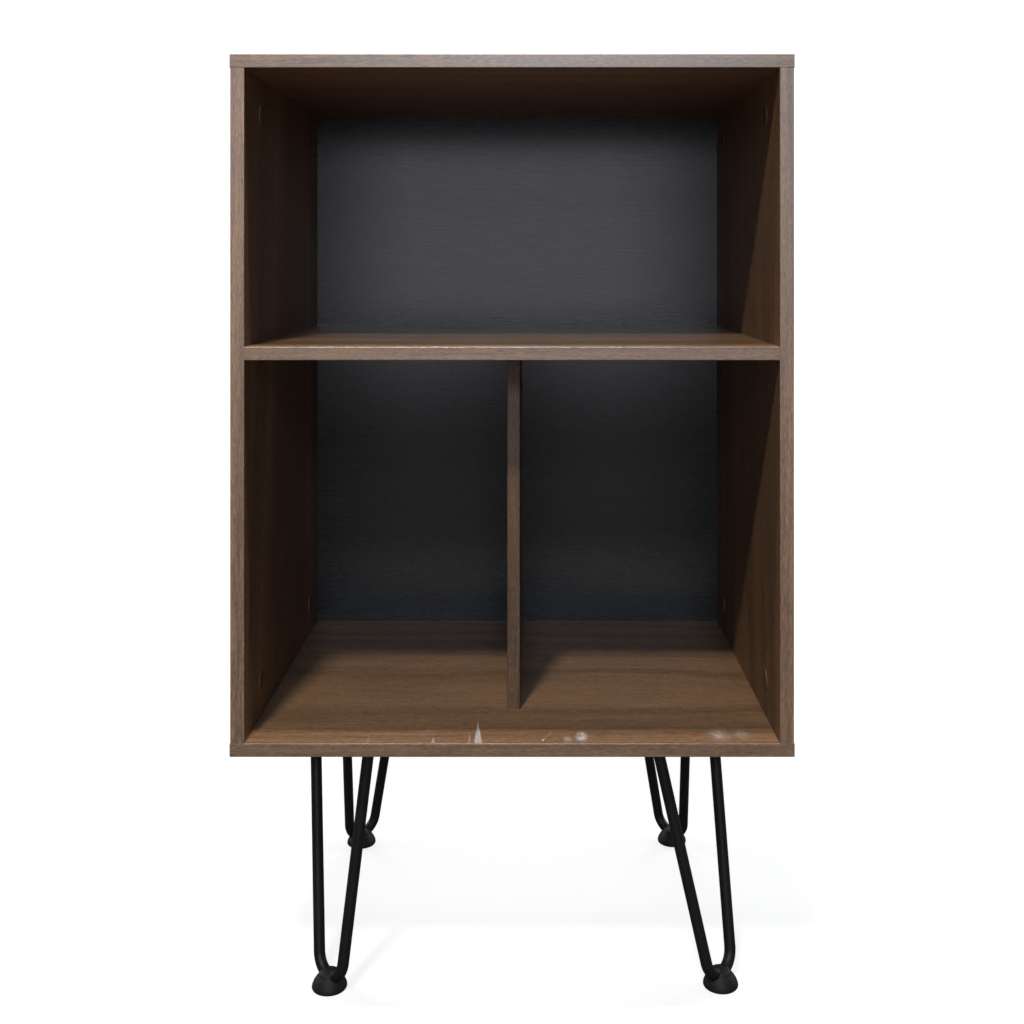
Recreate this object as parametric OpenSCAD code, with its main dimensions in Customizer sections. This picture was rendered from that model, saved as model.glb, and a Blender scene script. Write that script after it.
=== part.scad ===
// Open-fronted storage stand: a flat-pack cabinet with one shelf and one
// upright divider, carried by four bent-rod hairpin legs.
// Millimetres. Origin: centre of the footprint, at the level the feet stand on.
// +Z up, -Y towards the open front, +X to the right seen from the front.

/* [Cabinet] */
// Width of the cabinet over the top board
cab_w = 500; // [460:2:700]
// Depth of the cabinet, front edge to rear edge
cab_d = 400; // [380:2:460]
// Height of the upper compartment
upper_h = 247; // [180:1:360]
// Height of the lower compartment
lower_h = 339; // [320:1:400]
// Thickness of the lying boards and the divider
board_t = 12; // [12:1:18]
// Thickness of the side boards
side_t = 12.5; // [12:0.5:18]
// How far the top and bottom boards stand out past the sides
overhang = 0.5; // [0:0.1:2]
// Thickness of the edge bands
band_t = 1; // [0.8:0.1:1.5]
// Roundness of the outer arrises of the edge bands
band_r = 0.7; // [0.2:0.1:0.8]
// How far the upright divider stands back from the front
divider_setback = 85.5; // [20:0.5:150]
// Distance from the front edge to the face of the back panel
back_face = 381; // [350:1:385]
// Thickness of the back panel
back_t = 3; // [3:0.5:5]
// Depth of the grooves that hold the back panel
groove_d = 5; // [3:0.5:6]

/* [Fittings] */
// Distance of the front and rear fittings from the board edges
fit_inset = 70; // [50:1:90]
// Distance from a cam to the end of its board
cam_dist = 34; // [24:1:40]
// Bore for the cams
cam_d = 15; // [12:1:16]
// Diameter of the caps that cover the cams
cap_d = 19; // [17:1:22]
// Diameter of the wooden dowels
dowel_d = 6; // [5:1:8]
// Length of the wooden dowels
dowel_l = 28; // [24:1:32]

/* [Legs] */
// Height of the legs, floor to underside of the cabinet
leg_h = 233; // [180:1:350]
// Diameter of the bent steel rod
rod_d = 10.6; // [8:0.2:11]
// Radius of the bend at the foot, to the rod's centre line
bend_r = 18.6; // [14:0.2:22]
// Sideways place of the inner rod under the cabinet
inner_x = 131.7; // [120:0.1:140]
// Fore-and-aft place of the inner rod under the cabinet
inner_y = 154.5; // [145:0.5:160]
// Sideways place of the outer rod under the cabinet
outer_x = 192.2; // [180:0.1:200]
// Fore-and-aft place of the outer rod under the cabinet
outer_y = 93.2; // [85:0.1:110]
// Sideways place of the bends of the rear legs
foot_x = 177.8; // [165:0.1:195]
// Fore-and-aft place of the bends
foot_y = 143.3; // [135:0.1:155]
// How much wider apart the bends of the front legs are, each side
front_splay = 1.5; // [0:0.1:5]
// How far both front feet are sprung over to the right
front_drift = 11; // [0:0.1:13]
// How far both left feet are sprung forward
left_forward = 4; // [0:0.1:8]
// Thickness of the mounting plates
plate_t = 3; // [2.5:0.5:4]
// Width of each arm of a mounting plate
plate_arm = 24; // [22:1:28]

/* [Feet] */
// Diameter of a foot on the floor
foot_d = 32.5; // [30:0.5:36]
// Height of the foot's dome
foot_h = 17.2; // [17:0.2:20]
// Rubber left under the rod
sole_t = 5.7; // [5:0.1:6]

/* [Hidden] */
$fn = 64;

hw = cab_w / 2;
hd = cab_d / 2;
z_bot = leg_h;                       // underside of the bottom board
z_lower = z_bot + board_t;           // floor of the lower compartment
z_shelf = z_lower + lower_h;         // underside of the shelf
z_upper = z_shelf + board_t;         // floor of the upper compartment
z_top = z_upper + upper_h;           // underside of the top board
z_max = z_top + board_t;             // top of the stand
side_out = hw - overhang;            // outer faces of the side boards
side_in = side_out - side_t;         // inner faces of the side boards
side_mid = side_in + board_t / 2;        // line of the bolts and dowels in the side boards
y_back = -hd + back_face;            // face of the back panel
y_groove = y_back + back_t + 0.2;
y_fit = hd - fit_inset;              // front and rear fittings at -y_fit, y_fit
y_dowel = y_fit - 32;
y_div = -hd + divider_setback;       // front edge of the divider
rod_r = rod_d / 2;
plate_z = leg_h - plate_t;           // underside of the mounting plates
bend_z = sole_t + rod_r + bend_r;    // centre of the bend above the floor
bolt_in = 8;                         // thread length in the facing board
screw_in = 9;                        // leg screw length in the bottom board

wood = [0.36, 0.27, 0.20];
edge_c = [0.40, 0.30, 0.23];
back_c = [0.25, 0.25, 0.26];
steel = [0.70, 0.70, 0.72];
zinc = [0.76, 0.77, 0.79];
black = [0.10, 0.10, 0.10];
rubber_c = [0.14, 0.14, 0.145];
cap_c = [0.20, 0.15, 0.12];
dowel_c = [0.80, 0.66, 0.46];

// ---------------------------------------------------------------- helpers
// a box between two corners
module span(a, b) { translate(a) cube([b[0] - a[0], b[1] - a[1], b[2] - a[2]]); }

// quarter-arc points of radius r about c from angle a to a+90
function arc(c, r, a, n = 5) = [for (i = [0:n]) c + r * [cos(a + 90 * i / n), sin(a + 90 * i / n)]];

// cross-section of an edge band: flat against the board at y = band_t,
// rounded on both outer arrises, standing from z = 0 to z = h
module band_section(h = board_t) {
    polygon(concat([[band_t, 0], [band_t, h]],
        arc([band_r, h - band_r], band_r, 90),
        arc([band_r, band_r], band_r, 180)));
}

// band along X on a front edge: from x0 to x1, outer face at y, bottom at z
module band_x(x0, x1, y, z) {
    translate([x0, y, z]) rotate([90, 0, 90]) linear_extrude(x1 - x0) band_section();
}

// band along Z on the front edge of a board of thickness t: from z0 to z1, outer
// face at y, left edge at x
module band_z(x, y, z0, z1, t = board_t) {
    translate([x + t, y, z0]) rotate([0, 0, 90]) linear_extrude(z1 - z0) band_section(t);
}

// band along Y on an end: side = -1 left, 1 right, from y0 to y1, bottom at z
module band_y(side, y0, y1, z) {
    if (side < 0)
        translate([-hw, y1, z]) rotate([90, 0, 0]) linear_extrude(y1 - y0) band_section();
    else
        translate([hw, y0, z]) rotate([90, 0, 180]) linear_extrude(y1 - y0) band_section();
}

// drilled hole from point p along axis a ("x", "y" or "z"), signed length l
module bore(p, a, l, d) {
    translate(p)
        if (a == "x") rotate([0, l > 0 ? 90 : -90, 0]) cylinder(h = abs(l), d = d);
        else if (l > 0) cylinder(h = l, d = d);
        else mirror([0, 0, 1]) cylinder(h = -l, d = d);
}

// ------------------------------------------------------- cabinet boards
// holes in the face of a top or bottom board; face at z, drilling towards dir
module face_holes(z, dir) {
    for (sx = [-1, 1], sy = [-1, 1]) {
        bore([sx * side_mid, sy * y_fit, z], "z", dir * (bolt_in + 0.5), 5);
        bore([sx * side_mid, sy * y_dowel, z], "z", dir * 8.5, dowel_d);
    }
    span([-side_in - groove_d, y_back, min(z, z + dir * groove_d)],
         [side_in + groove_d, y_groove, max(z, z + dir * groove_d)]);
}

module top_panel() color(wood)
    difference() {
        span([-hw + band_t, -hd + band_t, z_top], [hw - band_t, hd, z_max]);
        face_holes(z_top, 1);
    }

module bottom_panel() color(wood)
    difference() {
        span([-hw + band_t, -hd + band_t, z_bot], [hw - band_t, hd, z_lower]);
        face_holes(z_lower, -1);
        for (y = div_screw_y) {
            bore([0, y, z_bot], "z", board_t, 4.2);
            translate([0, y, z_bot]) cylinder(h = 2.3, d1 = 8.2, d2 = 4.2);
        }
        for (sx = [-1, 1], sy = [-1, 1], p = plate_holes)
            bore([sx * p[0], sy * p[1], z_bot], "z", screw_in + 0.5, 4);
    }

// side board, s = -1 left, 1 right
module side_panel(s)
    difference() {
        span([min(s * side_in, s * side_out), -hd + band_t, z_lower],
             [max(s * side_in, s * side_out), hd, z_top]);
        for (sy = [-1, 1]) {
            // cams and the bolt channels that run to them from both ends
            bore([s * side_in, sy * y_fit, z_top - cam_dist], "x", s * 9.5, cam_d);
            bore([s * side_in, sy * y_fit, z_lower + cam_dist], "x", s * 9.5, cam_d);
            bore([s * side_mid, sy * y_fit, z_top], "z", -cam_dist, 7);
            bore([s * side_mid, sy * y_fit, z_lower], "z", cam_dist, 7);
            bore([s * side_mid, sy * y_dowel, z_top], "z", -(dowel_l - 8 + 0.5), dowel_d);
            bore([s * side_mid, sy * y_dowel, z_lower], "z", dowel_l - 8 + 0.5, dowel_d);
            // shelf bolts and dowels
            bore([s * side_in, sy * y_fit, z_shelf + board_t / 2], "x", s * (bolt_in + 0.5), 5);
            bore([s * side_in, sy * y_dowel, z_shelf + board_t / 2], "x", s * 8.5, dowel_d);
        }
        span([min(s * side_in, s * (side_in + groove_d)), y_back, z_lower],
             [max(s * side_in, s * (side_in + groove_d)), y_groove, z_top]);
    }
module left_side_panel() color(wood) side_panel(-1);
module right_side_panel() color(wood) side_panel(1);

module middle_shelf() color(wood)
    difference() {
        span([-side_in, -hd + band_t, z_shelf], [side_in, y_back, z_upper]);
        for (sx = [-1, 1], sy = [-1, 1]) {
            bore([sx * (side_in - cam_dist), sy * y_fit, z_shelf], "z", 9.5, cam_d);
            bore([sx * side_in, sy * y_fit, z_shelf + board_t / 2], "x", -sx * cam_dist, 7);
            bore([sx * side_in, sy * y_dowel, z_shelf + board_t / 2], "x", -sx * (dowel_l - 8 + 0.5), dowel_d);
        }
        for (y = div_dowel_y)
            bore([0, y, z_shelf], "z", 8.5, dowel_d);
    }

div_screw_y = [y_div + 60, y_back - 60];
div_dowel_y = [y_div + 50, y_back - 50];

module centre_divider() color(wood)
    difference() {
        span([-board_t / 2, y_div + band_t, z_lower], [board_t / 2, y_back, z_shelf]);
        for (y = div_screw_y) bore([0, y, z_lower], "z", 29, 3.6);
        for (y = div_dowel_y) bore([0, y, z_shelf], "z", -(dowel_l - 8 + 0.5), dowel_d);
    }

module back_panel() color(back_c)
    span([-side_in - groove_d + 0.5, y_back, z_lower - groove_d + 0.5],
         [side_in + groove_d - 0.5, y_back + back_t, z_top + groove_d - 0.5]);

// ------------------------------------------------------------ edge bands
module rim_bands(z) {
    band_x(-hw, hw, -hd, z);
    for (s = [-1, 1]) band_y(s, -hd + band_t + 0.02, hd, z);
}
module top_edge_bands() color(edge_c) rim_bands(z_top);
module bottom_edge_bands() color(edge_c) rim_bands(z_bot);
module left_side_edge_band() color(edge_c) band_z(-side_out, -hd, z_lower, z_top, side_t);
module right_side_edge_band() color(edge_c) band_z(side_in, -hd, z_lower, z_top, side_t);
module shelf_edge_band() color(edge_c) band_x(-side_in, side_in, -hd, z_shelf);
module divider_edge_band() color(edge_c) band_z(-board_t / 2, y_div, z_lower, z_shelf);

// -------------------------------------------------------------- fittings
// one cam, its mouth at z = 0 and its body above; the bolt comes in along +X
module cam_lock() {
    difference() {
        translate([0, 0, 0.2]) cylinder(h = 9.2, d = cam_d - 0.2);
        // room for the bolt head and the slot for its neck
        translate([0, 0, 3.4]) cylinder(h = 7, d = 8);
        translate([0, -3.5, board_t / 2 - 3.4]) cube([cam_d, 7, 7]);
        // cross recess for the driver
        for (a = [0, 90]) rotate([0, 0, a + 45]) translate([-3, -0.6, 0]) cube([6, 1.2, 4]);
    }
}
// one bolt along +X: head in the cam, collar at the joint, thread beyond it
module cam_bolt() rotate([0, 90, 0]) {
    translate([0, 0, -1.6]) cylinder(h = 3.2, d = 6);
    cylinder(h = cam_dist - 3, d = 3.4);
    translate([0, 0, cam_dist - 11]) cylinder(h = 11, d = 6.4);
    cylinder(h = cam_dist + 1, d = 4);
    // a coarse thread, drawn as rings
    translate([0, 0, cam_dist]) cylinder(h = bolt_in, d = 4);
    for (i = [0:3]) translate([0, 0, cam_dist + 0.4 + i * 2]) {
        cylinder(h = 0.7, d1 = 4, d2 = 4.96);
        translate([0, 0, 0.7]) cylinder(h = 0.7, d1 = 4.96, d2 = 4);
    }
}
// one cover cap: a thin domed disc, with a cross-shaped stub into the cam
module cam_cap() {
    rotate_extrude() polygon(concat([[0, 0], [cap_d / 2, 0]],
        [for (i = [0:4]) [cap_d / 2 - 0.9 + 0.9 * cos(90 * i / 4), -0.3 - 0.7 * sin(90 * i / 4)]],
        [[0, -1]]));
    translate([-2.6, -0.45, 0]) cube([5.2, 0.9, 2.2]);
    translate([-0.45, -2.6, 0]) cube([0.9, 5.2, 2.2]);
}

// puts a fitting at every cam: mouth on the board's face, bolt towards the joint
module at_cams() {
    for (s = [-1, 1], sy = [-1, 1]) {
        // upper end of a side board
        translate([s * side_in, sy * y_fit, z_top - cam_dist])
            rotate([0, s * 90, 0]) rotate([0, 0, s < 0 ? 0 : 180]) children();
        // lower end of a side board
        translate([s * side_in, sy * y_fit, z_lower + cam_dist])
            rotate([0, s * 90, 0]) rotate([0, 0, s < 0 ? 180 : 0]) children();
        // shelf, from below
        translate([s * (side_in - cam_dist), sy * y_fit, z_shelf])
            rotate([0, 0, s < 0 ? 180 : 0]) children();
    }
}
module cam_locks() color(zinc) at_cams() cam_lock();
module cam_bolts() color(steel) at_cams() translate([0, 0, board_t / 2]) cam_bolt();
module cam_cover_caps() color(cap_c) at_cams() rotate([0, 0, 45]) cam_cap();

// one dowel with chamfered ends, along +Z from z = 0
module dowel() rotate_extrude()
    polygon([[0, 0], [dowel_d / 2 - 0.75, 0], [dowel_d / 2 - 0.05, 0.8],
        [dowel_d / 2 - 0.05, dowel_l - 0.8], [dowel_d / 2 - 0.75, dowel_l], [0, dowel_l]]);

module wood_dowels() color(dowel_c) {
    for (s = [-1, 1], sy = [-1, 1]) {
        translate([s * side_mid, sy * y_dowel, z_top + 8 - dowel_l]) dowel();
        translate([s * side_mid, sy * y_dowel, z_lower - 8]) dowel();
        translate([s * (side_in + 8), sy * y_dowel, z_shelf + board_t / 2]) rotate([0, -s * 90, 0]) dowel();
    }
    for (y = div_dowel_y) translate([0, y, z_shelf + 8 - dowel_l]) dowel();
}

// countersunk screws that hold the divider from below
module divider_screws() color(steel)
    for (y = div_screw_y) translate([0, y, z_bot])
        difference() {
            rotate_extrude() polygon([[0, 0], [3.95, 0], [3.95, 0.3], [1.95, 2.3],
                [1.95, board_t], [1.75, board_t], [1.75, board_t + 24], [0, board_t + 28]]);
            for (a = [0, 90]) rotate([0, 0, a]) translate([-1.9, -0.5, -0.1]) cube([3.8, 1, 1.6]);
        }

// ------------------------------------------------------------------ legs
plate_holes = [[inner_x - 15, inner_y], [(inner_x + outer_x) / 2 - 2, inner_y],
               [outer_x, outer_y - 15], [outer_x, (inner_y + outer_y) / 2 + 4]];

// L-shaped mounting plate under the cabinet, sx, sy = corner it belongs to
module leg_plate(sx, sy) color(black)
    translate([0, 0, plate_z]) linear_extrude(plate_t) difference() {
        union() {
            corner_strip(sx, sy, inner_x - 24, outer_x + plate_arm / 2,
                inner_y - plate_arm / 2, inner_y + plate_arm / 2);
            corner_strip(sx, sy, outer_x - plate_arm / 2, outer_x + plate_arm / 2,
                outer_y - 24, inner_y + plate_arm / 2);
        }
        for (p = plate_holes) translate([sx * p[0], sy * p[1]]) circle(d = 4.6);
    }
// a strip with rounded corners, mirrored into the corner sx, sy
module corner_strip(sx, sy, x0, x1, y0, y1, r = 4) {
    xa = min(sx * x0, sx * x1); xb = max(sx * x0, sx * x1);
    ya = min(sy * y0, sy * y1); yb = max(sy * y0, sy * y1);
    polygon(concat(arc([xa + r, ya + r], r, 180, 8), arc([xb - r, ya + r], r, 270, 8),
        arc([xb - r, yb - r], r, 0, 8), arc([xa + r, yb - r], r, 90, 8)));
}

// tops of the two rods and centre of the bend, for the corner sx, sy
function top_in(sx, sy) = [sx * inner_x, sy * inner_y, plate_z];
function top_out(sx, sy) = [sx * outer_x, sy * outer_y, plate_z];
function bend_c(sx, sy) = [sx * foot_x + (sy < 0 ? sx * front_splay + front_drift : 0),
    sy * foot_y - (sx < 0 ? left_forward : 0), bend_z];
function unit(v) = v / norm(v);
// along the tops, up the leg's own plane, and the lowest point of the rod's centre line
function along(sx, sy) = unit(top_out(sx, sy) - top_in(sx, sy));
function up(sx, sy) = let (w = top_in(sx, sy) - bend_c(sx, sy), e = along(sx, sy)) unit(w - e * (w * e));
function low_c(sx, sy) = bend_c(sx, sy) - bend_r * up(sx, sy);

// a straight stretch of rod of length l, with a collar, a hair oversize, that
// swallows the seam where it runs into the bend
module straight(l, r) {
    translate([0, 0, 0.3]) cylinder(h = l - 0.3, r = r);
    translate([0, 0, -0.6]) cylinder(h = 1.5, r = r + 0.05);
}

// a hairpin of rod radius r lying in the plane through both tops and the bend
module hairpin(sx, sy, r) {
    A = top_in(sx, sy);
    B = top_out(sx, sy);
    C = bend_c(sx, sy);
    e = along(sx, sy);
    u = up(sx, sy);
    turn = atan2(e[1], e[0]);
    lean = asin(u * [-sin(turn), cos(turn), 0]);
    a = [(A - C) * e, (A - C) * u];
    b = [(B - C) * e, (B - C) * u];
    ta = atan2(a[1], a[0]) + acos(bend_r / norm(a));    // where the rods leave the bend
    tb = atan2(b[1], b[0]) - acos(bend_r / norm(b));
    la = sqrt(a * a - bend_r * bend_r);
    lb = sqrt(b * b - bend_r * bend_r);
    difference() {
        translate(C) rotate([90 - lean, 0, turn]) {
            rotate([0, 0, ta]) rotate_extrude(angle = 360 + tb - ta)
                translate([bend_r, 0]) circle(r = r);
            translate(concat(bend_r * [cos(ta), sin(ta)], [0]))
                rotate([0, 90, ta - 90]) straight(la + 4, r);
            translate(concat(bend_r * [cos(tb), sin(tb)], [0]))
                rotate([0, 90, tb + 90]) straight(lb + 4, r);
        }
        translate([min(A[0], B[0]) - 30, min(A[1], B[1]) - 30, plate_z]) cube([140, 140, 30]);
    }
}

// fillet welds where the rods meet the plates
module leg_weld_beads() color(black)
    for (sx = [-1, 1], sy = [-1, 1]) difference() {
        for (p = [top_in(sx, sy), top_out(sx, sy)])
            translate(p - [0, 0, 3.5]) cylinder(h = 3.5, r1 = rod_r + 1.5, r2 = rod_r + 3.2);
        hairpin_reach(sx, sy);
    }
// the two straight stretches of the hairpin near the plate, a hair oversize
module hairpin_reach(sx, sy) {
    A = top_in(sx, sy);
    B = top_out(sx, sy);
    C = bend_c(sx, sy);
    e = along(sx, sy);
    u = up(sx, sy);
    turn = atan2(e[1], e[0]);
    lean = asin(u * [-sin(turn), cos(turn), 0]);
    a = [(A - C) * e, (A - C) * u];
    b = [(B - C) * e, (B - C) * u];
    ta = atan2(a[1], a[0]) + acos(bend_r / norm(a));
    tb = atan2(b[1], b[0]) - acos(bend_r / norm(b));
    la = sqrt(a * a - bend_r * bend_r);
    lb = sqrt(b * b - bend_r * bend_r);
    translate(C) rotate([90 - lean, 0, turn]) {
        translate(concat(bend_r * [cos(ta), sin(ta)], [0]))
            rotate([0, 90, ta - 90]) translate([0, 0, la - 12]) cylinder(h = 24, r = rod_r + 0.02);
        translate(concat(bend_r * [cos(tb), sin(tb)], [0]))
            rotate([0, 90, tb + 90]) translate([0, 0, lb - 12]) cylinder(h = 24, r = rod_r + 0.02);
    }
}

// rubber foot: a flared cup with a domed top, pressed over the bend
module foot(sx, sy) color(rubber_c) {
    C = low_c(sx, sy);
    R = foot_d / 2;
    difference() {
        translate([C[0], C[1], 0]) rotate_extrude()
            polygon(concat([[0, 0], [R - 2, 0]],
                [for (i = [1:5]) [R - 2 + 2 * sin(18 * i), 2 - 2 * cos(18 * i)]],
                [[R - 0.3, 3.8], [R - 1.5, 6.6], [R - 3.4, 9.6], [R - 6.1, 12.8]],
                [for (i = [1:6]) [(R - 6.1) * cos(15 * i), 12.8 + (foot_h - 12.8) * sin(15 * i)]]));
        hairpin(sx, sy, rod_r + 0.05);
    }
}

// pan-head screws through the plates into the bottom board
module leg_plate_screws() color(steel)
    for (sx = [-1, 1], sy = [-1, 1], p = plate_holes)
        translate([sx * p[0], sy * p[1], plate_z]) difference() {
            rotate_extrude() polygon(concat([[0, -2.5]],
                [for (i = [0:5]) [2.4 + 1.6 * sin(18 * i), -0.9 - 1.6 * cos(18 * i)]],
                [[4, 0], [1.95, 0], [1.95, plate_t + screw_in - 2], [0, plate_t + screw_in]]));
            for (a = [0, 90]) rotate([0, 0, a + 20]) translate([-1.8, -0.45, -2.6]) cube([3.6, 0.9, 1.7]);
        }

module front_left_leg_plate() leg_plate(-1, -1);
module front_right_leg_plate() leg_plate(1, -1);
module rear_left_leg_plate() leg_plate(-1, 1);
module rear_right_leg_plate() leg_plate(1, 1);
module front_left_hairpin_rod() color(black) hairpin(-1, -1, rod_r);
module front_right_hairpin_rod() color(black) hairpin(1, -1, rod_r);
module rear_left_hairpin_rod() color(black) hairpin(-1, 1, rod_r);
module rear_right_hairpin_rod() color(black) hairpin(1, 1, rod_r);
module front_left_foot() foot(-1, -1);
module front_right_foot() foot(1, -1);
module rear_left_foot() foot(-1, 1);
module rear_right_foot() foot(1, 1);

top_panel();
bottom_panel();
left_side_panel();
right_side_panel();
middle_shelf();
centre_divider();
back_panel();
top_edge_bands();
bottom_edge_bands();
left_side_edge_band();
right_side_edge_band();
shelf_edge_band();
divider_edge_band();
cam_locks();
cam_bolts();
cam_cover_caps();
wood_dowels();
divider_screws();
front_left_leg_plate();
front_right_leg_plate();
rear_left_leg_plate();
rear_right_leg_plate();
front_left_hairpin_rod();
front_right_hairpin_rod();
rear_left_hairpin_rod();
rear_right_hairpin_rod();
leg_weld_beads();
front_left_foot();
front_right_foot();
rear_left_foot();
rear_right_foot();
leg_plate_screws();
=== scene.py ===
"""Storage stand: looks, camera and light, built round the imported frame. Metres, +Z up, -Y is the open front."""
import bpy, bmesh, math, random
from mathutils import Vector, Matrix, Euler

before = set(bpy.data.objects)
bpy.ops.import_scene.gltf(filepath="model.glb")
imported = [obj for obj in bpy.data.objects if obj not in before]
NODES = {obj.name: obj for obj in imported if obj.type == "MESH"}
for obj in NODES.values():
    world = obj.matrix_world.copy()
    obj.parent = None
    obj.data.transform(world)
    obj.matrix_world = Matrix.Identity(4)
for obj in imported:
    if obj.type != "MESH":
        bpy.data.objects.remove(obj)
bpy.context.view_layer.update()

scene = bpy.context.scene
scene.view_settings.view_transform = "Standard"
scene.view_settings.look = "None"
scene.view_settings.exposure = 0.0
scene.view_settings.gamma = 1.0

# ------------------------------------------------------------------ camera
# the picture plane is parallel to the cabinet's front, so the framing comes from shift
F_PX, IMG = 1260.6, 1024.0
VPX, VPY = 532.0, 262.0
cam_data = bpy.data.cameras.new("camera")
cam_data.sensor_width = 36.0
cam_data.sensor_fit = "AUTO"
cam_data.lens = F_PX / IMG * 36.0
cam_data.shift_x = -(VPX - IMG / 2) / IMG
cam_data.shift_y = (VPY - IMG / 2) / IMG
cam_data.dof.use_dof = False
cam = bpy.data.objects.new("camera", cam_data)
scene.collection.objects.link(cam)
cam.location = (0.0176, -0.200 - 1.115, 0.855 - 0.184)
cam.rotation_euler = (math.radians(90), 0, 0)
scene.camera = cam


# ------------------------------------------------------- node tree helpers
class Graph:
    """A material's node tree, with short calls for the nodes used here."""

    def __init__(self, name):
        self.mat = bpy.data.materials.new(name)
        self.mat.use_nodes = True
        self.nt = self.mat.node_tree
        self.nt.nodes.clear()
        self.out = self.nt.nodes.new("ShaderNodeOutputMaterial")
        self.bsdf = self.nt.nodes.new("ShaderNodeBsdfPrincipled")
        self.nt.links.new(self.bsdf.outputs[0], self.out.inputs[0])
        self._obj = None

    def put(self, socket, value):
        if value is None:
            return
        if isinstance(value, bpy.types.NodeSocket):
            self.nt.links.new(value, socket)
        elif hasattr(value, "__len__") and len(value) == 3 and socket.type == "RGBA":
            socket.default_value = (*value, 1.0)
        else:
            socket.default_value = value

    def node(self, kind, **attrs):
        n = self.nt.nodes.new(kind)
        for k, v in attrs.items():
            setattr(n, k, v)
        return n

    def math(self, op, a, b=None, c=None, clamp=False):
        n = self.node("ShaderNodeMath", operation=op, use_clamp=clamp)
        self.put(n.inputs[0], a)
        if b is not None:
            self.put(n.inputs[1], b)
        if c is not None:
            self.put(n.inputs[2], c)
        return n.outputs[0]

    def vmath(self, op, a, b=None):
        n = self.node("ShaderNodeVectorMath", operation=op)
        self.put(n.inputs[0], a)
        if b is not None:
            self.put(n.inputs[1], b)
        return n.outputs[1] if op in ("LENGTH", "DOT_PRODUCT", "DISTANCE") else n.outputs[0]

    def xyz(self, v):
        n = self.node("ShaderNodeSeparateXYZ")
        self.put(n.inputs[0], v)
        return n.outputs

    def vec(self, x, y, z):
        n = self.node("ShaderNodeCombineXYZ")
        for i, v in enumerate((x, y, z)):
            self.put(n.inputs[i], v)
        return n.outputs[0]

    def noise(self, v, scale=1.0, detail=2.0, rough=0.5, dist=0.0):
        n = self.node("ShaderNodeTexNoise")
        self.put(n.inputs["Vector"], v)
        for k, x in (("Scale", scale), ("Detail", detail), ("Roughness", rough), ("Distortion", dist)):
            self.put(n.inputs[k], x)
        return n.outputs[0]

    def voronoi(self, v, scale=1.0, feature="F1", rand=1.0):
        n = self.node("ShaderNodeTexVoronoi", feature=feature)
        self.put(n.inputs["Vector"], v)
        n.inputs["Scale"].default_value = scale
        n.inputs["Randomness"].default_value = rand
        return n.outputs[0]

    def span(self, v, a, b, lo=0.0, hi=1.0, smooth=False):
        n = self.node("ShaderNodeMapRange", interpolation_type="SMOOTHSTEP" if smooth else "LINEAR")
        n.clamp = True
        self.put(n.inputs[0], v)
        for i, x in zip((1, 2, 3, 4), (a, b, lo, hi)):
            self.put(n.inputs[i], x)
        return n.outputs[0]

    def mix(self, f, a, b, blend="MIX"):
        n = self.node("ShaderNodeMix", data_type="RGBA", blend_type=blend, clamp_factor=True)
        self.put(n.inputs[0], f)
        self.put(n.inputs[6], a)
        self.put(n.inputs[7], b)
        return n.outputs[2]

    def ramp(self, f, stops):
        n = self.node("ShaderNodeValToRGB")
        e = n.color_ramp.elements
        while len(e) < len(stops):
            e.new(0.5)
        for i, (p, c) in enumerate(stops):
            e[i].position = p
            e[i].color = (*c, 1.0) if len(c) == 3 else c
        self.put(n.inputs[0], f)
        return n.outputs[0]

    def bump(self, h, strength, distance, normal=None):
        n = self.node("ShaderNodeBump")
        n.inputs["Strength"].default_value = strength
        n.inputs["Distance"].default_value = distance
        self.put(n.inputs["Height"], h)
        if normal is not None:
            self.put(n.inputs["Normal"], normal)
        return n.outputs[0]

    @property
    def pos(self):
        """the point in the row frame: every piece's object sits at the origin"""
        if self._obj is None:
            self._obj = self.node("ShaderNodeTexCoord").outputs["Object"]
        return self._obj

    @property
    def normal(self):
        return self.node("ShaderNodeTexCoord").outputs["Normal"]

    def set(self, **values):
        names = {"color": "Base Color", "rough": "Roughness", "metal": "Metallic", "spec": "Specular IOR Level",
                 "ior": "IOR", "coat": "Coat Weight", "coat_rough": "Coat Roughness", "normal": "Normal",
                 "sheen": "Sheen Weight", "sheen_rough": "Sheen Roughness", "aniso": "Anisotropic"}
        for k, v in values.items():
            self.put(self.bsdf.inputs[names[k]], v)
        return self.mat


def srgb(r, g, b):
    """0-255 picture values to linear light"""
    return tuple(((c / 255) / 12.92) if c / 255 <= 0.04045 else (((c / 255) + 0.055) / 1.055) ** 2.4 for c in (r, g, b))


# ------------------------------------------------------------- materials
GRAIN = {"x": (0, 1, 2), "z": (2, 0, 1), "y": (1, 2, 0)}
WALNUT = (srgb(76, 54, 39), srgb(118, 87, 65), srgb(152, 116, 87))


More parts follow.
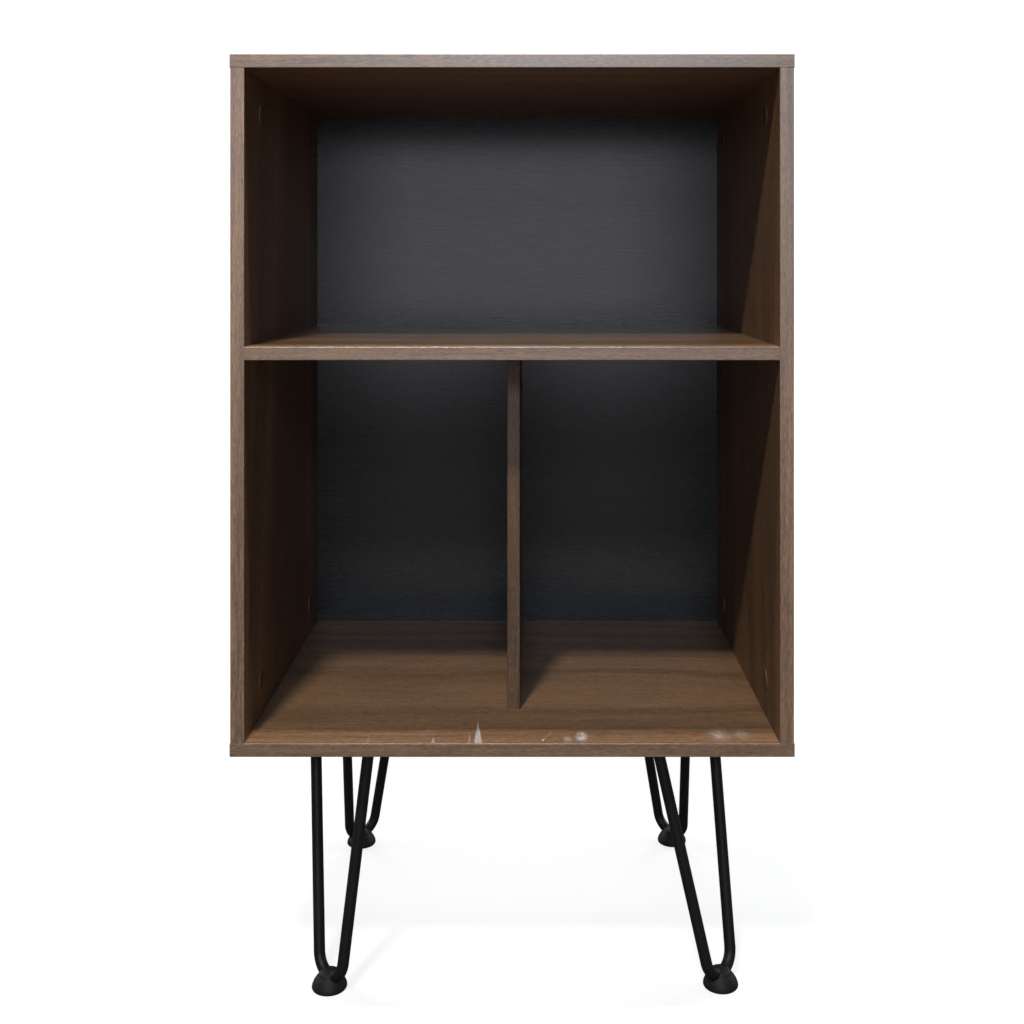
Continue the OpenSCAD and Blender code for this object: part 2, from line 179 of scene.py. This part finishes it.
def walnut(name, along, seed, heart=0.0, gain=1.0, rough0=0.50, spec=0.35, chip=True, scuffs=False, sway=1.0, emboss=0.30):
    """Walnut-effect laminate, printed with the grain along one axis.

    heart is where the cathedral figure is centred across the board. Chipboard shows where the core was left bare. gain
    scales the whole colour; where it is not 1 it is painted shade or painted light.
    """
    g = Graph(name)
    p = g.xyz(g.pos)
    l, u, w = (p[i] for i in GRAIN[along])
    # each board is cut from another part of the printed sheet
    ls = g.math("ADD", l, seed * 1.37)
    # slow drift of the fibres across the board
    drift = g.noise(g.vec(g.math("MULTIPLY", ls, 1.9), g.math("MULTIPLY", u, 5.0), g.math("MULTIPLY_ADD", w, 5.0, seed)), 1.0, 2.0, 0.5)
    wave = g.noise(g.vec(g.math("MULTIPLY", ls, 11.0), g.math("MULTIPLY", u, 26.0), g.math("MULTIPLY_ADD", w, 26.0, seed)), 1.0, 2.0, 0.5)
    du = g.math("MULTIPLY", g.math("SUBTRACT", drift, 0.5), 0.036 * sway)
    du = g.math("ADD", du, g.math("MULTIPLY", g.math("SUBTRACT", wave, 0.5), 0.0016 * sway))
    uu = g.math("ADD", u, du)
    ww = g.math("ADD", w, g.math("MULTIPLY", du, 0.7))
    us = g.math("ADD", uu, seed * 0.613)
    ws = g.math("ADD", ww, seed * 0.291)
    # cathedral figure: contours round a heart line that the board's face cuts at a slant
    slant = g.math("MULTIPLY", g.math("ADD", l, 0.35), 0.085)
    rad = g.vmath("LENGTH", g.vec(g.math("SUBTRACT", uu, heart), slant, g.math("MULTIPLY", ww, 0.8)))
    rings = g.noise(g.vec(g.math("MULTIPLY", rad, 118.0), g.math("MULTIPLY", ls, 0.9), seed), 1.0, 3.0, 0.58)
    band = g.noise(g.vec(g.math("MULTIPLY", ls, 1.3), g.math("MULTIPLY", us, 17.0), g.math("MULTIPLY", ws, 17.0)), 1.0, 2.0, 0.5)
    streak = g.noise(g.vec(g.math("MULTIPLY", ls, 20.0), g.math("MULTIPLY", us, 430.0), g.math("MULTIPLY", ws, 430.0)), 1.0, 4.0, 0.66)
    fibre = g.noise(g.vec(g.math("MULTIPLY", ls, 170.0), g.math("MULTIPLY", us, 1150.0), g.math("MULTIPLY", ws, 1150.0)), 1.0, 2.0, 0.6)
    pore = g.noise(g.vec(g.math("MULTIPLY", ls, 105.0), g.math("MULTIPLY", us, 1250.0), g.math("MULTIPLY", ws, 1250.0)), 1.0, 1.0, 0.4)
    pore = g.span(pore, 0.60, 0.74)
    # pores crowd in the dark rings
    pore = g.math("MULTIPLY", pore, g.span(rings, 0.35, 0.62, 1.0, 0.35))
    tone = g.math("MULTIPLY", g.math("SUBTRACT", rings, 0.5), 0.80)
    tone = g.math("ADD", tone, g.math("MULTIPLY", g.math("SUBTRACT", band, 0.5), 0.45))
    tone = g.math("ADD", tone, g.math("MULTIPLY", g.math("SUBTRACT", streak, 0.5), 0.95))
    tone = g.math("ADD", tone, g.math("MULTIPLY", g.math("SUBTRACT", fibre, 0.5), 1.25))
    tone = g.math("ADD", tone, 0.5)
    dark, mid, light = (tuple(c * gain for c in k) for k in WALNUT)
    col = g.ramp(tone, [(0.05, dark), (0.5, mid), (0.95, light)])
    # the print wanders between a redder and a greyer brown
    hue = g.noise(g.vec(g.math("MULTIPLY", ls, 9.0), g.math("MULTIPLY", us, 130.0), g.math("MULTIPLY", ws, 130.0)), 1.0, 3.0, 0.6)
    tint = g.ramp(hue, [(0.32, (0.96, 1.01, 1.0)), (0.68, (1.04, 0.99, 0.98))])
    col = g.mix(1.0, col, tint, "MULTIPLY")
    col = g.mix(g.math("MULTIPLY", pore, 0.55), col, tuple(c * 0.4 for c in dark))
    # satin print film, embossed along the pores, with cloudy handling wear
    cloud = g.noise(g.vmath("MULTIPLY", g.pos, (7.0, 7.0, 7.0)), 1.0, 4.0, 0.62)
    rough = g.math("ADD", g.math("MULTIPLY", g.math("SUBTRACT", streak, 0.5), 0.22), rough0)
    rough = g.math("ADD", rough, g.math("MULTIPLY", pore, 0.18))
    rough = g.math("ADD", rough, g.math("MULTIPLY", g.math("SUBTRACT", cloud, 0.5), 0.16))
    height = g.math("SUBTRACT", g.math("MULTIPLY", fibre, 0.6), g.math("MULTIPLY", pore, 1.2))
    height = g.math("ADD", height, g.math("MULTIPLY", streak, 0.5))
    if scuffs:
        m = scuff_mask(g)
        col = g.mix(g.math("MULTIPLY", m, 0.74), col, srgb(190, 188, 192))
        rough = g.math("ADD", rough, g.math("MULTIPLY", m, 0.25))
    if chip:
        # bare chipboard on the rear edges
        ny = g.xyz(g.normal)[1]
        bare = g.math("MULTIPLY", g.math("GREATER_THAN", ny, 0.9), g.math("GREATER_THAN", p[1], 0.1985))
        chips = g.voronoi(g.vmath("MULTIPLY", g.pos, (420.0, 420.0, 760.0)), 1.0)
        crumb = g.noise(g.vmath("MULTIPLY", g.pos, (300.0, 300.0, 600.0)), 1.0, 4.0, 0.65)
        ccol = g.ramp(g.math("ADD", g.math("MULTIPLY", chips, 0.55), g.math("MULTIPLY", crumb, 0.5)),
                      [(0.18, srgb(96, 70, 44)), (0.42, srgb(158, 124, 84)), (0.6, srgb(182, 148, 104)), (0.85, srgb(208, 180, 136))])
        col = g.mix(bare, col, ccol)
        rough = g.math("ADD", rough, g.math("MULTIPLY", bare, 0.4))
        height = g.math("ADD", height, g.math("MULTIPLY", g.math("MULTIPLY", crumb, bare), 6.0))
    g.set(color=col, rough=rough, normal=g.bump(height, emboss, 0.00010), spec=spec)
    return g.mat


def scuff_mask(g):
    """Pale scuffs of use on the front of the bottom board: rubs and fine scratches."""
    x, y, z = g.xyz(g.pos)
    top = g.math("GREATER_THAN", z, 0.2445)
    fine = g.noise(g.vec(g.math("MULTIPLY", x, 900.0), g.math("MULTIPLY", y, 60.0), 0.0), 1.0, 3.0, 0.6)
    soft = g.noise(g.vec(g.math("MULTIPLY", x, 160.0), g.math("MULTIPLY", y, 70.0), 4.0), 1.0, 3.0, 0.6)
    total = None
    # wedge-shaped rubs: tip x, base x, half width at the front edge, how deep they run, weight
    for tip, base, half, deep, weight in ((-0.0325, -0.0302, 0.0037, 0.054, 1.0), (-0.0712, -0.0700, 0.0021, 0.015, 0.6),
                                          (-0.0385, -0.0380, 0.0016, 0.026, 0.30), (-0.1290, -0.1280, 0.0012, 0.020, 0.25)):
        t = g.math("DIVIDE", g.math("ADD", y, 0.1985), deep)
        inside = g.math("MULTIPLY", g.math("GREATER_THAN", t, 0.0), g.math("LESS_THAN", t, 1.0))
        cx = g.math("MULTIPLY_ADD", t, tip - base, base)
        hw = g.math("MULTIPLY_ADD", t, -half, half)
        d = g.math("DIVIDE", g.math("ABSOLUTE", g.math("SUBTRACT", x, cx)), g.math("MAXIMUM", hw, 0.0002))
        m = g.math("MULTIPLY", g.math("MULTIPLY", g.span(d, 0.55, 1.25, 1.0, 0.0), inside), weight)
        m = g.math("MULTIPLY", m, g.span(fine, 0.30, 0.62, 0.35, 1.0))
        total = m if total is None else g.math("MAXIMUM", total, m)
    # cloudy rubs: centre x, centre y, radii, weight
    for cx, cy, rx, ry, weight in ((0.0618, -0.183, 0.0066, 0.014, 1.1), (0.0492, -0.190, 0.0050, 0.008, 0.6),
                                   (0.1860, -0.180, 0.0120, 0.020, 0.45), (0.2060, -0.178, 0.0080, 0.016, 0.25),
                                   (-0.0760, -0.175, 0.0100, 0.016, 0.12)):
        dx = g.math("DIVIDE", g.math("SUBTRACT", x, cx), rx)
        dy = g.math("DIVIDE", g.math("SUBTRACT", y, cy), ry)
        r = g.math("SQRT", g.math("ADD", g.math("MULTIPLY", dx, dx), g.math("MULTIPLY", dy, dy)))
        m = g.math("MULTIPLY", g.span(r, 0.1, 1.15, weight, 0.0, True), g.span(soft, 0.34, 0.66, 0.2, 1.25))
        total = g.math("MAXIMUM", total, m)
    # scratches: a slanting line each
    for x0, y0, x1, y1, weight in ((0.0268, -0.194, 0.0352, -0.172, 0.28), (0.0266, -0.194, 0.0284, -0.189, 1.1)):
        dxl, dyl = x1 - x0, y1 - y0
        n = math.hypot(dxl, dyl)
        px, py = g.math("SUBTRACT", x, x0), g.math("SUBTRACT", y, y0)
        along = g.math("ADD", g.math("MULTIPLY", px, dxl / n / n), g.math("MULTIPLY", py, dyl / n / n))
        off = g.math("ABSOLUTE", g.math("ADD", g.math("MULTIPLY", px, dyl / n), g.math("MULTIPLY", py, -dxl / n)))
        m = g.math("MULTIPLY", g.span(off, 0.0003, 0.0009, weight, 0.0), g.math("MULTIPLY", g.math("GREATER_THAN", along, 0.0), g.math("LESS_THAN", along, 1.0)))
        total = g.math("MAXIMUM", total, g.math("MULTIPLY", m, g.span(soft, 0.4, 0.6, 0.3, 1.0)))
    return g.math("MULTIPLY", total, top)


def charcoal(name):
    """Back panel: charcoal foil with a level grain on the front, raw brown fibreboard behind."""
    g = Graph(name)
    p = g.xyz(g.pos)
    l, u = p[0], p[2]
    drift = g.noise(g.vec(g.math("MULTIPLY", l, 2.0), g.math("MULTIPLY", u, 6.0), 0.3), 1.0, 2.0, 0.5)
    uu = g.math("ADD", u, g.math("MULTIPLY", g.math("SUBTRACT", drift, 0.5), 0.012))
    streak = g.noise(g.vec(g.math("MULTIPLY", l, 26.0), g.math("MULTIPLY", uu, 340.0), 0.0), 1.0, 4.0, 0.66)
    fibre = g.noise(g.vec(g.math("MULTIPLY", l, 90.0), g.math("MULTIPLY", uu, 900.0), 5.0), 1.0, 2.0, 0.55)
    band = g.noise(g.vec(g.math("MULTIPLY", l, 2.5), g.math("MULTIPLY", uu, 30.0), 2.0), 1.0, 3.0, 0.55)
    tone = g.math("ADD", g.math("MULTIPLY", streak, 0.45), g.math("MULTIPLY", band, 0.25))
    tone = g.math("ADD", tone, g.math("MULTIPLY", fibre, 0.3))
    col = g.ramp(tone, [(0.34, srgb(24, 22, 22)), (0.5, srgb(32, 29, 29)), (0.66, srgb(42, 39, 38))])
    ny = g.xyz(g.normal)[1]
    rear = g.math("GREATER_THAN", ny, 0.5)
    fib = g.noise(g.vmath("MULTIPLY", g.pos, (700.0, 700.0, 700.0)), 1.0, 4.0, 0.7)
    fib2 = g.noise(g.vmath("MULTIPLY", g.pos, (14.0, 14.0, 14.0)), 1.0, 3.0, 0.6)
    rcol = g.ramp(g.math("ADD", g.math("MULTIPLY", fib, 0.55), g.math("MULTIPLY", fib2, 0.45)),
                  [(0.25, srgb(104, 74, 48)), (0.55, srgb(138, 103, 70)), (0.8, srgb(160, 124, 88))])
    col = g.mix(rear, col, rcol)
    rough = g.math("ADD", g.math("MULTIPLY", g.math("SUBTRACT", streak, 0.5), 0.12), 0.28)
    rough = g.math("ADD", rough, g.math("MULTIPLY", rear, 0.4))
    # the foil spreads a reflection sideways more than up and down
    g.put(g.bsdf.inputs["Tangent"], g.vec(1.0, 0.0, 0.0))
    g.set(color=col, rough=rough, normal=g.bump(g.math("ADD", streak, g.math("MULTIPLY", fibre, 0.5)), 0.07, 0.0001), spec=0.68, aniso=0.85)
    return g.mat


def powder_coat(name):
    g = Graph(name)
    v = g.pos
    peel = g.noise(g.vmath("MULTIPLY", v, (900.0, 900.0, 900.0)), 1.0, 2.0, 0.5)
    cloud = g.noise(g.vmath("MULTIPLY", v, (30.0, 30.0, 30.0)), 1.0, 3.0, 0.6)
    col = g.mix(cloud, srgb(9, 9, 9), srgb(15, 15, 14))
    rough = g.math("ADD", g.math("MULTIPLY", cloud, 0.16), 0.44)
    g.set(color=col, rough=rough, normal=g.bump(peel, 0.35, 0.0002), spec=0.30)
    return g.mat


def rubber(name):
    g = Graph(name)
    v = g.pos
    cloud = g.noise(g.vmath("MULTIPLY", v, (60.0, 60.0, 60.0)), 1.0, 3.0, 0.6)
    fine = g.noise(g.vmath("MULTIPLY", v, (1500.0, 1500.0, 1500.0)), 1.0, 2.0, 0.6)
    col = g.mix(cloud, srgb(10, 10, 10), srgb(19, 19, 19))
    rough = g.math("ADD", g.math("MULTIPLY", cloud, 0.15), 0.55)
    g.set(color=col, rough=rough, normal=g.bump(fine, 0.25, 0.0002), spec=0.3)
    return g.mat


def plated(name, base, rough0=0.28):
    g = Graph(name)
    v = g.pos
    cloud = g.noise(g.vmath("MULTIPLY", v, (220.0, 220.0, 220.0)), 1.0, 3.0, 0.6)
    fine = g.noise(g.vmath("MULTIPLY", v, (2500.0, 2500.0, 600.0)), 1.0, 2.0, 0.6)
    col = g.mix(cloud, tuple(c * 0.8 for c in base), base)
    rough = g.math("ADD", g.math("MULTIPLY", fine, 0.2), rough0)
    g.set(color=col, rough=rough, metal=1.0, normal=g.bump(fine, 0.1, 0.0001))
    return g.mat


def moulded(name, a, b):
    g = Graph(name)
    v = g.pos
    fine = g.noise(g.vmath("MULTIPLY", v, (1800.0, 1800.0, 1800.0)), 1.0, 2.0, 0.5)
    cloud = g.noise(g.vmath("MULTIPLY", v, (80.0, 80.0, 80.0)), 1.0, 2.0, 0.5)
    g.set(color=g.mix(cloud, a, b), rough=g.math("ADD", g.math("MULTIPLY", cloud, 0.1), 0.52),
          normal=g.bump(fine, 0.2, 0.0001), spec=0.25)
    return g.mat


def beech(name):
    g = Graph(name)
    v = g.pos
    fleck = g.noise(g.vmath("MULTIPLY", v, (900.0, 900.0, 900.0)), 1.0, 3.0, 0.6)
    g.set(color=g.ramp(fleck, [(0.3, srgb(176, 134, 92)), (0.7, srgb(214, 180, 134))]), rough=0.6,
          normal=g.bump(fleck, 0.2, 0.0002))
    return g.mat


# the edging is a little glossier than the boards
BAND = dict(rough0=0.36, spec=0.95, chip=False, sway=0.10, emboss=0.16)
M = {
    "top_panel": walnut("walnut_top", "x", 1.0, heart=0.05),
    "bottom_panel": walnut("walnut_bottom", "x", 2.3, heart=-0.06, scuffs=True),
    "middle_shelf": walnut("walnut_shelf", "x", 3.1, heart=0.02, rough0=0.36, spec=0.5),
    "left_side_panel": walnut("walnut_left", "z", 4.7, heart=0.04),
    "right_side_panel": walnut("walnut_right", "z", 5.9, heart=-0.03),
    # painted shade: the divider's faces are darkened (gain 0.85) for the shade of its set-back place between the two
    # bays
    "centre_divider": walnut("walnut_divider", "z", 6.4, gain=0.85, chip=False),
    "top_edge_bands": walnut("band_top", "x", 7.7, **BAND),
    # painted shade: the lower front edging is darkened (gain 0.88), as the light falls off towards the bottom; it is
    # the same edging as the top
    "bottom_edge_bands": walnut("band_bottom", "x", 8.9, gain=0.88, **BAND),
    # painted light: the left edging is brightened (gain 1.14) for the brighter light on that side; it is the same
    # edging as the right
    "left_side_edge_band": walnut("band_left", "z", 9.4, gain=1.14, **BAND),
    "right_side_edge_band": walnut("band_right", "z", 10.8, **BAND),
    # painted shade: the shelf's edging is darkened a little (gain 0.96) to match its shading; it is the same edging as
    # the rest
    "shelf_edge_band": walnut("band_shelf", "x", 11.5, gain=0.96, **BAND),
    # painted shade: the divider's edging is darkened to under half (gain 0.48) for the shade of its set-back recess; it
    # is the same edging as the rest
    "divider_edge_band": walnut("band_divider", "z", 12.6, gain=0.48, chip=False, sway=0.15),
    "back_panel": charcoal("charcoal_back"),
    "cam_locks": plated("zinc_cam", (0.55, 0.56, 0.58), 0.35),
    "cam_bolts": plated("steel_bolt", (0.62, 0.62, 0.64), 0.25),
    "cam_cover_caps": moulded("cap_plastic", srgb(96, 72, 55), srgb(106, 81, 62)),
    "wood_dowels": beech("beech_dowel"),
}
COAT, RUBBER, STEEL = powder_coat("powder_coat"), rubber("foot_rubber"), plated("screw_steel", (0.6, 0.6, 0.62))
M["divider_screws"] = M["leg_plate_screws"] = STEEL
M["leg_weld_beads"] = COAT
for corner in ("front_left", "front_right", "rear_left", "rear_right"):
    M[corner + "_leg_plate"] = M[corner + "_hairpin_rod"] = COAT
    M[corner + "_foot"] = RUBBER
for name, o in NODES.items():
    if not o.data.materials:
        o.data.materials.append(M[name])
    for s in o.material_slots:
        s.material = M[name]

# ------------------------------------------------------------------ stage
def floor():
    """A pale sweep. What it sends back to the stand is kept low, as in a dim room with a lit floor."""
    g = Graph("studio_floor")
    fine = g.noise(g.vmath("MULTIPLY", g.pos, (40.0, 40.0, 40.0)), 1.0, 3.0, 0.6)
    g.set(color=g.mix(fine, (0.22, 0.22, 0.22), (0.26, 0.26, 0.26)), rough=0.8, spec=0.0)
    g.bsdf.inputs["Emission Color"].default_value = (1, 1, 1, 1)
    # the sheet runs out to plain white some way off
    away = g.vmath("LENGTH", g.vmath("MULTIPLY", g.pos, (1.0, 1.0, 0.0)))
    g.put(g.bsdf.inputs["Emission Strength"], g.span(away, 1.4, 3.2, FLOOR_GLOW, 1.0, True))
    dim = g.node("ShaderNodeBsdfDiffuse")
    dim.inputs[0].default_value = (FLOOR_BOUNCE, FLOOR_BOUNCE, FLOOR_BOUNCE, 1)
    seen = g.node("ShaderNodeLightPath").outputs["Is Camera Ray"]
    both = g.node("ShaderNodeMixShader")
    g.put(both.inputs[0], seen)
    g.put(both.inputs[1], dim.outputs[0])
    g.put(both.inputs[2], g.bsdf.outputs[0])
    g.nt.links.new(both.outputs[0], g.out.inputs[0])
    bm = bmesh.new()
    # a sheet that runs forward, under the stand and up behind it in one sweep
    w, front, back, r, top = 14.0, -14.0, 3.2, 1.6, 7.0
    prof = [(front, 0.0), (0.0, 0.0), (back - r, 0.0)]
    prof += [(back - r + r * math.sin(a), r - r * math.cos(a)) for a in [math.radians(x) for x in range(5, 91, 5)]]
    prof += [(back, top)]
    rows = [[bm.verts.new((x, y, z)) for x in (-w, w)] for y, z in prof]
    for a, b in zip(rows, rows[1:]):
        f = bm.faces.new((a[0], a[1], b[1], b[0]))
        f.smooth = True
    me = bpy.data.meshes.new("studio_floor")
    bm.to_mesh(me); bm.free()
    me.materials.append(g.mat)
    o = bpy.data.objects.new("studio_floor", me)
    scene.collection.objects.link(o)
    return o


def area(name, loc, target, size, power, size_y=None, color=(1, 1, 1), spread=180):
    d = bpy.data.lights.new(name, "AREA")
    d.energy = power
    d.color = color
    d.shape = "RECTANGLE"
    d.size, d.size_y = size, size_y or size
    d.spread = math.radians(spread)
    o = bpy.data.objects.new(name, d)
    scene.collection.objects.link(o)
    o.location = loc
    o.rotation_euler = (Vector(target) - Vector(loc)).to_track_quat("-Z", "Y").to_euler()
    o.visible_camera = False
    return o


FLOOR_GLOW, FLOOR_BOUNCE = 0.80, 0.14
AMBIENT = 0.01
KEY, CARD, TOP, HIGH, SIDE, REAR = 88.0, 20.2, 51.0, 87.0, 60.0, 60.0
floor()
# a soft key high in front, a dim white card behind the camera that the back panel's gloss picks up,
# a small lamp straight above the front edge and another high in front, a little to the left
area("key", (0.12, -5.2, 2.60), (0.0, -0.2, 0.60), 1.4, KEY, 0.8, color=(0.82, 1.03, 1.25))
area("card", (0.05, -4.0, 0.90), (0.05, 0.0, 0.90), 2.9, CARD, 1.4, color=(0.99, 0.98, 1.09))
area("top", (0.0, -0.40, 2.9), (0.0, -0.40, 0.0), 0.30, TOP, 0.10, color=(1.0, 0.95, 0.86))
area("high", (-0.58, -2.35, 3.43), (0.0, -0.2, 0.5), 0.30, HIGH, 0.20, color=(0.98, 0.98, 0.82))
# broad panels behind the front's plane, for the outer sides and the back
area("side_left", (-3.0, 1.5, 2.0), (-0.2, 0.1, 0.5), 1.8, SIDE, 1.6)
area("side_right", (3.0, 1.5, 2.0), (0.2, 0.1, 0.5), 1.8, SIDE, 1.6)
area("rear", (0.0, 2.7, 2.6), (0.0, 0.2, 0.5), 2.4, REAR, 1.0)

world = bpy.data.worlds.new("studio")
scene.world = world
world.use_nodes = True
wt = world.node_tree
bg = wt.nodes["Background"]
bg.inputs[0].default_value = (1, 1, 1, 1)
seen = wt.nodes.new("ShaderNodeLightPath").outputs["Is Camera Ray"]
level = wt.nodes.new("ShaderNodeMapRange")
level.inputs[3].default_value, level.inputs[4].default_value = AMBIENT, 1.0
wt.links.new(seen, level.inputs[0])
wt.links.new(level.outputs[0], bg.inputs[1])
